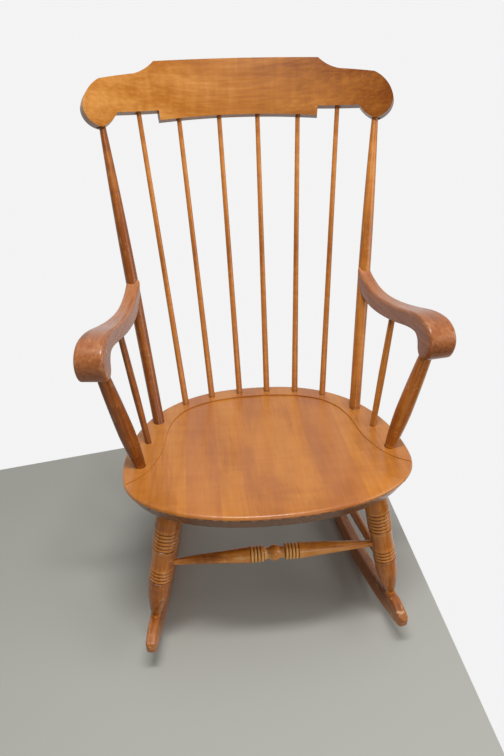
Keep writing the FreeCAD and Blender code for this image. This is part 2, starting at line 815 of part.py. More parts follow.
def build():
    os.makedirs("parts", exist_ok=True)
    side_front = at_height(front_leg_top, front_leg_foot, side_stretcher_front_height)
    side_rear = at_height(rear_leg_top, rear_leg_foot, side_stretcher_rear_height)
    front_left = at_height(front_leg_top, front_leg_foot, front_stretcher_height)
    rear_left = at_height(rear_leg_top, rear_leg_foot, rear_stretcher_height)
    front_right = Vector(-front_left.x, front_left.y, front_left.z)
    rear_right = Vector(-rear_left.x, rear_left.y, rear_left.z)

    seat_cuts = [
        socket(post_base, post_top, post_base_radius, post_tenon_radius, socket_tenon),
        socket(arm_post_base, arm_post_top, arm_post_base_radius, arm_post_tenon_radius,
               socket_tenon),
        plain_socket(arm_spindle_base, arm_spindle_top, arm_spindle_radius, spindle_seat_depth),
        socket(front_leg_top, front_leg_foot, leg_top_radius, leg_seat_tenon_radius, socket_tenon),
        socket(rear_leg_top, rear_leg_foot, leg_top_radius, leg_seat_tenon_radius, socket_tenon),
    ]
    crest_cuts = [plain_socket(post_top, post_base, post_top_radius, post_crest_depth)]
    for base, top in spindle_points():
        seat_cuts.append(plain_socket(base, top, spindle_base_radius, spindle_seat_depth))
        crest_cuts.append(plain_socket(top, base, spindle_top_radius, spindle_crest_depth))

    pin_height = crest_pin_above_edge - crest_ear_drop
    bend = crest_ear_s / crest_bend_radius
    pin_way = Vector(math.sin(bend), 0, 0).add(Vector(crest_back).multiply(math.cos(bend)))
    pin_out = crest_point(crest_ear_s, pin_height).add(
        Vector(pin_way).multiply(crest_thickness / 2 - 0.2))
    pin_in = pin_out.sub(Vector(pin_way).multiply(crest_pin_length))
    crest_hole = rod(pin_out.add(Vector(pin_way).multiply(overshoot)), pin_in.sub(pin_way),
                     crest_pin_radius + fit_clearance)
    crest_pin = rod(pin_out, pin_in, crest_pin_radius)

    save("seat", make_seat().cut(both_sides(seat_cuts)))
    save("crest_rail", make_crest().cut(both_sides(crest_cuts + [crest_hole])))
    save("crest_pins", Part.makeCompound(both_sides([crest_pin])))

    dowel_start = post_at_arm.sub(Vector(arm_ahead).multiply(arm_dowel_past_axis))
    dowel_end = post_at_arm.add(Vector(arm_ahead).multiply(post_arm_radius + arm_dowel_in_arm))
    dowel_hole = rod(toward(dowel_start, dowel_end, -end_gap),
                     toward(dowel_end, dowel_start, -end_gap), arm_dowel_radius + fit_clearance)
    save_pair("arm_dowel", rod(dowel_start, dowel_end, arm_dowel_radius))

    save_pair("back_post", make_back_post().cut([dowel_hole, crest_hole]))
    arm = make_arm().cut([
        dowel_hole,
        socket(arm_post_top, arm_post_base, arm_post_top_radius, arm_post_tenon_radius,
               socket_tenon),
        plain_socket(arm_spindle_top, arm_spindle_base, arm_spindle_radius, arm_spindle_depth),
    ])
    save_pair("arm", arm)
    save_pair("arm_post", make_arm_post())
    save_pair("arm_spindle", make_spindle(
        arm_spindle_base, arm_spindle_top, arm_spindle_radius, arm_spindle_middle_radius,
        arm_spindle_radius, arm_spindle_depth))

    order = 1
    left = [make_spindle(base, top, spindle_base_radius, spindle_middle_radius,
                         spindle_top_radius, spindle_crest_depth)
            for base, top in spindle_points()]
    for spindle in list(map(mirrored, reversed(left))) + left:
        save("back_spindle_" + str(order), spindle)
        order += 1

    def drill_legs(start, end):
        low, high = stretcher_ends(start, end)
        return rod(toward(low, high, -end_gap), toward(high, low, -end_gap),
                   stretcher_end_radius + fit_clearance)

    front_hole = drill_legs(front_left, front_right)
    rear_hole = drill_legs(rear_left, rear_right)
    side_hole = drill_legs(side_front, side_rear)
    rocker_across = Vector(cos(rocker_toe_in), sin(rocker_toe_in), 0)
    rocker = make_rocker()
    pins = []
    legs = {}
    for name, top, foot, hole in (("front_leg", front_leg_top, front_leg_foot, front_hole),
                                  ("rear_leg", rear_leg_top, rear_leg_foot, rear_hole)):
        tenon_middle = toward(foot, top, -0.55 * leg_foot_tenon)
        reach = Vector(rocker_across).multiply(rocker_thickness / 2)
        pins.append(rod(tenon_middle.sub(reach), tenon_middle.add(reach), rocker_pin_radius))
        pin_hole = rod(tenon_middle.sub(Vector(reach).multiply(2)),
                       tenon_middle.add(Vector(reach).multiply(2)),
                       rocker_pin_radius + fit_clearance)
        legs[name] = make_leg(top, foot).cut([hole, side_hole, pin_hole])
        rocker = rocker.cut([
            pin_hole, plain_socket(foot, top, leg_foot_tenon_radius, leg_foot_tenon)])
    for name, leg in legs.items():
        save_pair(name, leg)
    save_pair("rocker", rocker)
    save("rocker_pins", Part.makeCompound(both_sides(pins)))
    save("front_stretcher", make_front_stretcher(front_left, front_right))
    save("rear_stretcher", make_plain_stretcher(rear_left, rear_right, rear_stretcher_radius))
    save_pair("side_stretcher", make_plain_stretcher(side_front, side_rear,
                                                     side_stretcher_radius))


build()
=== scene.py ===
import bpy
import math
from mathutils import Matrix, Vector


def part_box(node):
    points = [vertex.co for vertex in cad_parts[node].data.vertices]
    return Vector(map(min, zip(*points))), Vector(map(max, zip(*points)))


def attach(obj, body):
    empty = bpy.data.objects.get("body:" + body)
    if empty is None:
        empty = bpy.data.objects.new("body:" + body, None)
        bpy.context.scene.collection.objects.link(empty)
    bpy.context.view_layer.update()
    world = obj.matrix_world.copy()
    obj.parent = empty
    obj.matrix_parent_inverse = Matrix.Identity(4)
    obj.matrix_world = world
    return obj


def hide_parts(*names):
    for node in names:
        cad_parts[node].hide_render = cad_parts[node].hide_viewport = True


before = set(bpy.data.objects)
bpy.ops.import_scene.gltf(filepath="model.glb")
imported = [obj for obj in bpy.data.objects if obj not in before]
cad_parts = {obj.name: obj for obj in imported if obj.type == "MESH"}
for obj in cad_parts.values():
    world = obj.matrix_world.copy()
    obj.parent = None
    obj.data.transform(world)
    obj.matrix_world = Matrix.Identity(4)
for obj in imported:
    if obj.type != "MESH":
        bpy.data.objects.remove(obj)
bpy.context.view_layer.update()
print("frame loaded:", len(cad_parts), "wooden parts")


# Small helpers for selecting, editing and placing

def mm(value):
    return value / 1000


def pick(piece):
    bpy.ops.object.select_all(action="DESELECT")
    piece.select_set(True)
    bpy.context.view_layer.objects.active = piece


def editMode(on):
    bpy.ops.object.mode_set(mode="EDIT" if on else "OBJECT")


def selectFaces(piece, wanted):
    # leaves the piece in edit mode with only the wanted faces selected
    pick(piece)
    editMode(True)
    bpy.ops.mesh.select_mode(type="FACE")
    bpy.ops.mesh.select_all(action="DESELECT")
    editMode(False)
    for face in piece.data.polygons:
        face.select = wanted(face)
    editMode(True)


def applyModifier(piece, kind, **values):
    pick(piece)
    modifier = piece.modifiers.new(kind.lower(), kind)
    for name, value in values.items():
        setattr(modifier, name, value)
    bpy.ops.object.modifier_apply(modifier=modifier.name)


def smoothByAngle(piece, degrees):
    pick(piece)
    bpy.ops.object.shade_smooth_by_angle(angle=math.radians(degrees))


def settle(piece):
    # the place goes into the mesh, so the object itself stays at the origin
    pick(piece)
    bpy.ops.object.transform_apply(location=True, rotation=True, scale=True)


def mirroredX(point):
    return (-point[0], point[1], point[2])


def blended(first, second, share):
    return (1 - share) * first + share * second


def spanOf(start, finish):
    # in millimetres
    return (Vector(finish) - Vector(start)).length * 1000


# Wood: one group for the figure of maple, one for wear, and stain colours per kind of part

def newGroup(name, inputs, outputs):
    group = bpy.data.node_groups.new(name, "ShaderNodeTree")
    for label, kind, value in inputs:
        socket = group.interface.new_socket(label, in_out="INPUT", socket_type=kind)
        if value is not None:
            socket.default_value = value
    for label, kind in outputs:
        group.interface.new_socket(label, in_out="OUTPUT", socket_type=kind)
    start = group.nodes.new("NodeGroupInput")
    end = group.nodes.new("NodeGroupOutput")
    return group, start, end


def addNode(tree, kind, values=None, **settings):
    node = tree.nodes.new(kind)
    for name, value in settings.items():
        setattr(node, name, value)
    for name, value in (values or {}).items():
        node.inputs[name].default_value = value
    return node


def calc(tree, operation, first, second=None, clamp=False):
    # one step of arithmetic between sockets or plain numbers
    node = addNode(tree, "ShaderNodeMath", operation=operation, use_clamp=clamp)
    for index, value in enumerate((first, second)):
        if value is None:
            continue
        if isinstance(value, (int, float)):
            node.inputs[index].default_value = value
        else:
            tree.links.new(value, node.inputs[index])
    return node.outputs[0]


def stretched(tree, place, factors):
    node = addNode(tree, "ShaderNodeVectorMath", operation="MULTIPLY")
    tree.links.new(place, node.inputs[0])
    node.inputs[1].default_value = factors
    return node.outputs[0]


def noise(tree, place, pattern):
    # a mask from 0 to 1: stretched noise, narrowed to the part of its range that is wanted
    if "stretch" in pattern:
        place = stretched(tree, place, pattern["stretch"])
    node = addNode(tree, "ShaderNodeTexNoise", {
        "Scale": pattern["scale"], "Detail": pattern["detail"],
        "Roughness": pattern["roughness"], "Distortion": pattern.get("distortion", 0.0)})
    tree.links.new(place, node.inputs["Vector"])
    low, high = pattern["range"]
    return narrowed(tree, node.outputs["Fac"], low, high, blend=pattern.get("blend", "LINEAR"))


def narrowed(tree, value, low, high, toLow=0.0, toHigh=1.0, blend="LINEAR"):
    node = addNode(tree, "ShaderNodeMapRange", {
        "From Min": low, "From Max": high, "To Min": toLow, "To Max": toHigh},
        interpolation_type=blend)
    tree.links.new(value, node.inputs["Value"])
    return node.outputs["Result"]


def blendColours(tree, share, first, second):
    node = addNode(tree, "ShaderNodeMix", data_type="RGBA")
    sockets = [s for s in node.inputs if s.enabled]
    for socket, value in zip(sockets, (share, first, second)):
        if isinstance(value, (int, float, tuple)):
            socket.default_value = value
        else:
            tree.links.new(value, socket)
    return [s for s in node.outputs if s.enabled][0]


# the grain runs along Z, so most patterns are stretched along it
figurePatterns = {
    "Streak": {"stretch": (1, 1, 0.05), "scale": 170, "detail": 5, "roughness": 0.6,
               "distortion": 0.15, "range": (0.3, 0.7)},
    "Cloud": {"stretch": (1, 1, 0.3), "scale": 14, "detail": 3, "roughness": 0.5,
              "distortion": 0.3, "range": (0.25, 0.75), "blend": "SMOOTHSTEP"},
    "Ripple": {"stretch": (0.22, 0.22, 1), "scale": 52, "detail": 3, "roughness": 0.55,
               "distortion": 0.5, "range": (0.32, 0.68)},
    "Pore": {"stretch": (1, 1, 0.09), "scale": 900, "detail": 2, "roughness": 0.5,
             "range": (0.6, 0.72)},
}
wearPatterns = {
    "patches": {"scale": 38, "detail": 5, "roughness": 0.68, "distortion": 0.4,
                "range": (0.57, 0.64)},
    "scratches": {"stretch": (1, 1, 0.16), "scale": 210, "detail": 3, "roughness": 0.6,
                  "distortion": 1.2, "range": (0.62, 0.67)},
    "scratchedPlaces": {"scale": 22, "detail": 2, "roughness": 0.5, "range": (0.48, 0.58)},
}


def makeFigureGroup():
    group, start, end = newGroup(
        "mapleFigure", [("Place", "NodeSocketVector", None)],
        [(label, "NodeSocketFloat") for label in figurePatterns])
    for label, pattern in figurePatterns.items():
        group.links.new(noise(group, start.outputs["Place"], pattern), end.inputs[label])
    return group


def makeWearGroup():
    # rubbed patches and fine pale scratches, where the stain is scraped off the maple
    group, start, end = newGroup(
        "rubbedLacquer",
        [("Place", "NodeSocketVector", None), ("Patches", "NodeSocketFloat", 0.5),
         ("Scratches", "NodeSocketFloat", 0.5)],
        [("Mask", "NodeSocketFloat")])
    patch, scratch, where = [noise(group, start.outputs["Place"], pattern)
                             for pattern in wearPatterns.values()]
    patches = calc(group, "MULTIPLY", patch, start.outputs["Patches"])
    scratches = calc(group, "MULTIPLY", calc(group, "MULTIPLY", scratch, where),
                     start.outputs["Scratches"])
    group.links.new(calc(group, "MAXIMUM", patches, scratches, True), end.inputs["Mask"])
    return group


figureGroup = makeFigureGroup()
wearGroup = makeWearGroup()

# three stain colours per kind of part, then how much each pattern shifts the tone between
# them, how much wear shows, and where it differs from the lacquer below
woods = {
    "seat_wood": {
        "dark": (0.27, 0.075, 0.012), "middle": (0.44, 0.155, 0.026),
        "light": (0.57, 0.230, 0.046),
        "streak": 0.12, "cloud": 0.24, "ripple": 0.08, "pore": 0.10,
        "patches": 0.0, "scratches": 0.2, "roughness": 0.27},
    "crest_wood": {
        "dark": (0.17, 0.042, 0.003), "middle": (0.33, 0.108, 0.007),
        "light": (0.52, 0.225, 0.045),
        "streak": 0.14, "cloud": 0.22, "ripple": 0.08, "pore": 0.08,
        "patches": 0.0, "scratches": 0.15, "roughness": 0.32,
        # painted shade: the next two values darken the rail's tone steadily from one end to the
        # other
        "paintedShadeFrom": 0.28, "paintedShadeAlong": -0.8, "coat": 0.05, "mirror": 0.22},
    "arm_wood": {
        "dark": (0.15, 0.045, 0.014), "middle": (0.30, 0.100, 0.032),
        "light": (0.43, 0.170, 0.062),
        "streak": 0.24, "cloud": 0.26, "ripple": 0.06, "pore": 0.12,
        "patches": 0.15, "scratches": 0.2, "roughness": 0.26},
    "turned_wood": {
        "dark": (0.16, 0.038, 0.004), "middle": (0.38, 0.112, 0.012),
        "light": (0.56, 0.225, 0.042),
        "streak": 0.22, "cloud": 0.30, "ripple": 0.08, "pore": 0.10,
        "patches": 0.45, "scratches": 0.8, "roughness": 0.27, "crownWearAndHighlight": 0.45},
    "spindle_wood": {
        "dark": (0.20, 0.052, 0.007), "middle": (0.42, 0.140, 0.018),
        "light": (0.59, 0.245, 0.050),
        "streak": 0.22, "cloud": 0.30, "ripple": 0.08, "pore": 0.08,
        "patches": 0.15, "scratches": 0.4, "roughness": 0.30},
    "rocker_wood": {
        "dark": (0.16, 0.042, 0.008), "middle": (0.34, 0.108, 0.022),
        "light": (0.50, 0.205, 0.060),
        "streak": 0.26, "cloud": 0.28, "ripple": 0.06, "pore": 0.12,
        "patches": 0.55, "scratches": 0.8, "roughness": 0.32},
    "pin_wood": {
        "dark": (0.30, 0.12, 0.03), "middle": (0.45, 0.21, 0.06), "light": (0.60, 0.34, 0.12),
        "streak": 0.30, "cloud": 0.2, "ripple": 0.0, "pore": 0.2,
        "patches": 0.0, "scratches": 0.0, "roughness": 0.45},
}
lacquer = {
    "coat": 0.10, "coatRoughness": 0.12, "mirror": 0.38,
    "smoother": 0.05, "rougher": 0.07, "wornRougher": 0.25,
    "bumpStrength": 0.12, "bumpDistance": 0.0006, "wornDepth": 0.8,
    "wornEverywhere": 0.15, "bareMaple": (0.66, 0.43, 0.22),
    # this dark colour is real stain gathered in grooves and joints, and also painted shade on
    # the seat's rim and the crest's lower edges
    "grooveStain": (0.055, 0.020, 0.006),
}
# how the dark-stain and "worn" attributes are set on a turning: a part is proud up to this
# many stain-line widths from the nearest of the grooves
rubbing = {"stain": 0.9, "proudWithin": 4, "proud": 1.0, "least": 0.35}


def opaque(colour):
    return (*colour, 1.0)


def makeWood(name, kind, place, turn, boards=None, changes=None):
    # place and turn set the pattern on the piece: its grain runs along the turned Z
    look = {**woods[kind], **(changes or {})}
    material = bpy.data.materials.new(name)
    material.use_nodes = True
    tree = material.node_tree
    shader = tree.nodes["Principled BSDF"]
    shader.inputs["Coat Weight"].default_value = look.get("coat", lacquer["coat"])
    shader.inputs["Coat Roughness"].default_value = lacquer["coatRoughness"]
    shader.inputs["Specular IOR Level"].default_value = look.get("mirror", lacquer["mirror"])
    coordinates = addNode(tree, "ShaderNodeTexCoord")
    mapping = addNode(tree, "ShaderNodeMapping", {"Location": place, "Rotation": turn},
                      vector_type="TEXTURE")
    tree.links.new(coordinates.outputs["Object"], mapping.inputs["Vector"])
    figure = addNode(tree, "ShaderNodeGroup", node_tree=figureGroup)
    tree.links.new(mapping.outputs["Vector"], figure.inputs["Place"])
    worn = addNode(tree, "ShaderNodeAttribute", attribute_name="worn")
    stainAndPaintedShade = addNode(tree, "ShaderNodeAttribute", attribute_name="stainAndPaintedShade")

    # the tone runs from 0, dark, to 1, light
    tone = 0.5
    for label in ("Streak", "Cloud", "Ripple"):
        part = calc(tree, "SUBTRACT", figure.outputs[label], 0.5)
        part = calc(tree, "MULTIPLY", part, 2 * look[label.lower()])
        tone = calc(tree, "ADD", part, tone)
    # painted light: a tone shift that darkens the parts on the shaded side of the chair
    tone = calc(tree, "ADD", tone, look.get("paintedLightShift", 0.0))
    if "crownWearAndHighlight" in look:
        # the proud parts are lighter: partly thinner stain where they are rubbed, partly a
        # painted highlight on the crowns of the beads
        thinner = calc(tree, "SUBTRACT", worn.outputs["Fac"], rubbing["least"])
        tone = calc(tree, "ADD", tone, calc(tree, "MULTIPLY", thinner, look["crownWearAndHighlight"]))
    if "paintedShadeAlong" in look:
        # painted shade: the tone darkens steadily along the grain, from one end of the rail to
        # the other
        parts = addNode(tree, "ShaderNodeSeparateXYZ")
        tree.links.new(mapping.outputs["Vector"], parts.inputs[0])
        paintedShadeAlong = calc(tree, "SUBTRACT", parts.outputs["Z"], look["paintedShadeFrom"])
        tone = calc(tree, "ADD", tone, calc(tree, "MULTIPLY", paintedShadeAlong, look["paintedShadeAlong"]))
    if boards:
        shift, redness = addBoards(tree, mapping.outputs["Vector"], boards)
        tone = calc(tree, "ADD", tone, shift)
    colour = blendColours(tree, narrowed(tree, tone, 0.0, 0.5), opaque(look["dark"]),
                          opaque(look["middle"]))
    colour = blendColours(tree, narrowed(tree, tone, 0.5, 1.0), colour, opaque(look["light"]))
    if boards:
        redness = calc(tree, "MULTIPLY", redness, boards["redShare"])
        colour = blendColours(tree, redness, colour, opaque(boards["red"]))
    pores = calc(tree, "MULTIPLY", figure.outputs["Pore"], look["pore"])
    colour = blendColours(tree, pores, colour, opaque(look["dark"]))

    wear = addNode(tree, "ShaderNodeGroup", {
        "Patches": look["patches"], "Scratches": look["scratches"]}, node_tree=wearGroup)
    tree.links.new(mapping.outputs["Vector"], wear.inputs["Place"])
    exposed = calc(tree, "ADD", worn.outputs["Fac"], lacquer["wornEverywhere"])
    wornMask = calc(tree, "MULTIPLY", wear.outputs["Mask"], exposed, True)
    colour = blendColours(tree, wornMask, colour, opaque(lacquer["bareMaple"]))
    # dark stain in grooves and joints, and painted shade on the seat's rim and the crest's
    # lower edges
    colour = blendColours(tree, stainAndPaintedShade.outputs["Fac"], colour, opaque(lacquer["grooveStain"]))
    tree.links.new(colour, shader.inputs["Base Color"])

    sheen = narrowed(tree, figure.outputs["Cloud"], 0, 1,
                     look["roughness"] - lacquer["smoother"],
                     look["roughness"] + lacquer["rougher"])
    sheen = calc(tree, "ADD", sheen, calc(tree, "MULTIPLY", wornMask, lacquer["wornRougher"]))
    tree.links.new(sheen, shader.inputs["Roughness"])
    bump = addNode(tree, "ShaderNodeBump", {
        "Strength": lacquer["bumpStrength"], "Distance": lacquer["bumpDistance"]})
    height = calc(tree, "SUBTRACT", figure.outputs["Streak"],
                  calc(tree, "MULTIPLY", wornMask, lacquer["wornDepth"]))
    tree.links.new(height, bump.inputs["Height"])
    tree.links.new(bump.outputs["Normal"], shader.inputs["Normal"])
    return material


def addBoards(tree, place, boards):
    # glued boards: each strip across the seat has its own tone and redness
    parts = addNode(tree, "ShaderNodeSeparateXYZ")
    tree.links.new(place, parts.inputs[0])
    across = narrowed(tree, parts.outputs["X"], -boards["reach"], boards["reach"])
    ramp = addNode(tree, "ShaderNodeValToRGB")
    ramp.color_ramp.interpolation = "CONSTANT"
    elements = ramp.color_ramp.elements
    elements.remove(elements[-1])
    for index, (edge, tone, redness) in enumerate(boards["strips"]):
        position = (edge + boards["reach"]) / (2 * boards["reach"])
        element = elements[0] if index == 0 else elements.new(position)
        element.position = position
        element.color = (tone, redness, 0, 1)
    tree.links.new(across, ramp.inputs["Fac"])
    shares = addNode(tree, "ShaderNodeSeparateColor")
    tree.links.new(ramp.outputs["Color"], shares.inputs["Color"])
    shift = calc(tree, "MULTIPLY", calc(tree, "SUBTRACT", shares.outputs["Red"], 0.5),
                 boards["contrast"])
    return shift, shares.outputs["Green"]


def finishPiece(piece, node, kind, place, turn, boards=None, changes=None):
    piece.data.materials.clear()
    piece.data.materials.append(
        makeWood(piece.name + "_" + kind, kind, place, turn, boards, changes))
    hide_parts(node)
    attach(piece, "root")


print("wood groups made")


# Lathe work: an outline is drawn up the axis by extruding one vertex, then spun

# edges sharper than this angle stay crisp, and points closer than this distance are merged
latheFinish = {"angle": 50, "weld": 0.01}


def curvePoints(start, middle, finish, pieces):
    # a quadratic through three (radius, height) points
    points = []
    for step in range(1, pieces + 1):
        t = step / pieces
        a = 2 * (t - 0.5) * (t - 1)
        b = -4 * t * (t - 1)
        c = 2 * t * (t - 0.5)
        points.append((a * start[0] + b * middle[0] + c * finish[0],
                       a * start[1] + b * middle[1] + c * finish[1]))
    return points


# where a bead's outline has points, as shares of its pitch
beadShares = (0.06, 0.16, 0.3, 0.5, 0.7, 0.84, 0.94, 1.0)


def readOutline(moves):
    # moves are in millimetres: ("to", r, h), ("over", mid r, mid h, r, h, pieces),
    # ("beads", count, pitch, groove depth) from the first groove's bottom up,
    # and ("stain", h) where a dark line of stain has gathered
    points = []
    grooves = []
    for move in moves:
        kind, values = move[0], move[1:]
        if kind == "to":
            points.append(values)
        elif kind == "stain":
            grooves.append(values[0])
        elif kind == "over":
            middle, finish, pieces = values[0:2], values[2:4], values[4]
            points += curvePoints(points[-1], middle, finish, pieces)
        else:
            count, pitch, depth = values
            radius, height = points[-1]
            grooves.append(height)
            for bead in range(count):
                for share in beadShares:
                    swell = 1 - abs(2 * share - 1) ** 3
                    points.append((radius + depth * swell, height + pitch * (bead + share)))
                grooves.append(height + pitch * (bead + 1))
    return points, grooves


def standOn(piece, start, finish):
    # turns a piece drawn up +Z so that it runs from start to finish
    way = Vector(finish) - Vector(start)
    piece.rotation_mode = "XYZ"
    piece.rotation_euler = way.to_track_quat("Z", "Y").to_euler("XYZ")
    piece.location = start
    turn = tuple(piece.rotation_euler)
    settle(piece)
    return turn


def turnOnLathe(name, moves, start, finish, steps, grooveWidth=1.5):
    points, grooves = readOutline(moves)
    bpy.ops.object.select_all(action="DESELECT")
    bpy.ops.mesh.primitive_plane_add(size=0.01, location=(0, 0, 0))
    piece = bpy.context.object
    piece.name = name
    piece.data.name = name
    editMode(True)
    bpy.ops.mesh.merge(type="CENTER")
    here = Vector((0, 0, mm(points[0][1])))
    bpy.ops.transform.translate(value=here)
    stops = [Vector((mm(radius), 0, mm(height))) for radius, height in points]
    stops.append(Vector((0, 0, stops[-1].z)))
    for stop in stops:
        bpy.ops.mesh.extrude_region_move(TRANSFORM_OT_translate={"value": stop - here})
        here = stop
    bpy.ops.mesh.select_all(action="SELECT")
    bpy.ops.mesh.spin(steps=steps, angle=2 * math.pi, center=(0, 0, 0), axis=(0, 0, 1))
    bpy.ops.mesh.select_all(action="SELECT")
    bpy.ops.mesh.remove_doubles(threshold=mm(latheFinish["weld"]))
    bpy.ops.mesh.normals_make_consistent(inside=False)
    editMode(False)
    markGrooves(piece, [mm(height) for height in grooves], mm(grooveWidth))
    smoothByAngle(piece, latheFinish["angle"])
    turn = standOn(piece, start, finish)
    return piece, turn


def markGrooves(piece, heights, width):
    # dark stain lies in the grooves, and the proud parts between them are rubbed; where a
    # turning's wood asks for it, the same mark also lightens them as a painted highlight
    dark = piece.data.attributes.new("stainAndPaintedShade", "FLOAT", "POINT")
    worn = piece.data.attributes.new("worn", "FLOAT", "POINT")
    for index, vertex in enumerate(piece.data.vertices):
        nearest = min([abs(vertex.co.z - height) for height in heights], default=1.0)
        dark.data[index].value = rubbing["stain"] * max(0, 1 - nearest / width)
        proud = width < nearest < rubbing["proudWithin"] * width
        worn.data[index].value = rubbing["proud"] if proud else rubbing["least"]


# Legs: foot, slim neck, long bulb, three beads, waist, five beads and a rounded shoulder.
# The foot goes on into the rocker, slimmer, where it is hidden

legShape = {
    "tenon": (6.0, -14.0), "tenonNeck": (9.4, -4.0), "footRadius": 10.4, "footLow": -0.5,
    "footHigh": 2.0, "footStain": 0.5,
    "neck": (9.6, 6.0), "shank": (12.0, 15.0), "calfShare": 0.6, "bulb": (21.3, 66.0),
    "lowerRadius": 22.6, "lowerBelowTop": 144.0, "lowerBeads": 3,
    "waistRadius": 21.6, "upperRadius": 23.6, "upperBelowTop": 49.5, "upperBeads": 5,
    "pitch": 8.2, "grooveDepth": 1.7, "halfGroove": 1.3,
    "shoulderShare": 0.84, "topRadius": 17.2, "topLand": 4.0, "topStain": 1.5, "intoSeat": 6.5,
    "steps": 56,
}

legPlaces = {
    "front_leg": {"foot": (0.24557, -0.29100, 0.08170), "top": (0.19500, -0.26672, 0.34575)},
    "rear_leg": {"foot": (0.20056, 0.08650, 0.05823), "top": (0.15500, 0.01991, 0.33399)},
}


def legMoves(length):
    s = legShape
    bottom = s["lowerRadius"] - s["grooveDepth"]
    upperBottom = s["upperRadius"] - s["grooveDepth"]
    lower = length - s["lowerBelowTop"] - s["lowerBeads"] * s["pitch"] - s["halfGroove"]
    upper = length - s["upperBelowTop"] - s["upperBeads"] * s["pitch"] - s["halfGroove"]
    lowerEnd = lower + s["lowerBeads"] * s["pitch"]
    upperEnd = upper + s["upperBeads"] * s["pitch"]
    calf = (s["shank"][1] + s["bulb"][1]) / 2
    calfRadius = blended(s["shank"][0], s["bulb"][0], s["calfShare"])
    topStart = length - s["topLand"]
    shoulder = blended(s["topRadius"], s["upperRadius"], s["shoulderShare"])
    side = s["halfGroove"]
    return [
        ("to", *s["tenon"]), ("to", *s["tenonNeck"]), ("to", s["footRadius"], s["footLow"]),
        ("to", s["footRadius"], s["footHigh"]), ("stain", s["footStain"]),
        ("over", s["neck"][0], s["neck"][1], s["shank"][0], s["shank"][1], 8),
        ("over", calfRadius, calf, s["bulb"][0], s["bulb"][1], 12),
        ("to", s["lowerRadius"], lower - side), ("to", bottom, lower),
        ("beads", s["lowerBeads"], s["pitch"], s["grooveDepth"]),
        ("to", s["lowerRadius"], lowerEnd + side),
        ("over", s["waistRadius"], (lowerEnd + upper) / 2, s["upperRadius"], upper - side, 12),
        ("to", upperBottom, upper),
        ("beads", s["upperBeads"], s["pitch"], s["grooveDepth"]),
        ("to", s["upperRadius"], upperEnd + side),
        ("over", shoulder, (upperEnd + topStart) / 2, s["topRadius"], topStart, 10),
        ("stain", length - s["topStain"]), ("to", s["topRadius"], length + s["intoSeat"]),
    ]


for kind, ends in legPlaces.items():
    for side in ("left", "right"):
        foot, top = ends["foot"], ends["top"]
        if side == "right":
            foot, top = mirroredX(foot), mirroredX(top)
        node = kind + "_" + side
        leg, turn = turnOnLathe("turned_" + node, legMoves(spanOf(foot, top)), foot, top,
                                legShape["steps"])
        finishPiece(leg, node, "turned_wood", foot, turn)
print("legs turned")


# Stretchers

stretcherShape = {
    "stop": 5.0, "endRadius": 6.3, "inLeg": 21.6, "fullness": 0.7, "steps": 40,
    "side": {"start": (0.23364, -0.28527, 0.144), "finish": (0.18771, 0.06772, 0.136),
             "radius": 10.0},
    "rear": {"start": (0.17846, 0.05420, 0.192), "finish": (-0.17846, 0.05420, 0.192),
             "radius": 11.0},
    "front": {"start": (0.22004, -0.27874, 0.215), "finish": (-0.22004, -0.27874, 0.215),
              "taperRadius": 11.0, "taperAt": 125.0, "ringRadius": 16.5, "rings": 4,
              "pitch": 7.0, "grooveDepth": 1.7, "halfGroove": 1.3, "grooveStain": 1.3,
              "coveEnd": 21.0, "coveRadius": 11.5, "lip": 2.0, "lipInside": 1.0,
              "beadHalf": 7.5, "beadRadius": 16.0, "steps": 48},
}


def plainBar(length, radius):
    s = stretcherShape
    quarter = blended(s["endRadius"], radius, s["fullness"])
    first = (s["inLeg"] + length / 2) / 2
    return [
        ("to", s["endRadius"], s["stop"]), ("to", s["endRadius"], s["inLeg"]),
        ("over", quarter, first, radius, length / 2, 10),
        ("over", quarter, length - first, s["endRadius"], length - s["inLeg"], 10),
        ("to", s["endRadius"], length - s["stop"]),
    ]


def frontBar(length):
    # tapers and rings on both sides of a middle bead between two coves
    s, f = stretcherShape, stretcherShape["front"]
    half = length / 2
    ringEnd = f["coveEnd"] + f["rings"] * f["pitch"]
    low = f["ringRadius"] - f["grooveDepth"]
    firstGroove = ringEnd - f["halfGroove"]
    rings = ("beads", f["rings"], (firstGroove - f["coveEnd"]) / f["rings"], f["grooveDepth"])
    coveMiddle = (f["coveEnd"] + f["beadHalf"]) / 2
    lipRadius = f["coveRadius"] + f["lip"]
    coveOuter = f["coveEnd"] - f["lipInside"]
    coveInner = f["beadHalf"] + f["lipInside"]
    return [
        ("to", s["endRadius"], s["stop"]), ("to", s["endRadius"], s["inLeg"]),
        ("over", f["taperRadius"], half - f["taperAt"], f["ringRadius"], half - ringEnd, 14),
        ("to", low, half - firstGroove), rings,
        ("to", lipRadius, half - coveOuter),
        ("over", f["coveRadius"], half - coveMiddle, lipRadius, half - coveInner, 6),
        ("over", f["beadRadius"], half, lipRadius, half + coveInner, 12),
        ("over", f["coveRadius"], half + coveMiddle, lipRadius, half + coveOuter, 6),
        ("to", low, half + f["coveEnd"]), rings,
        ("to", f["ringRadius"], half + ringEnd),
        ("over", f["taperRadius"], half + f["taperAt"],
         s["endRadius"], length - s["inLeg"], 14),
        ("to", s["endRadius"], length - s["stop"]),
    ]


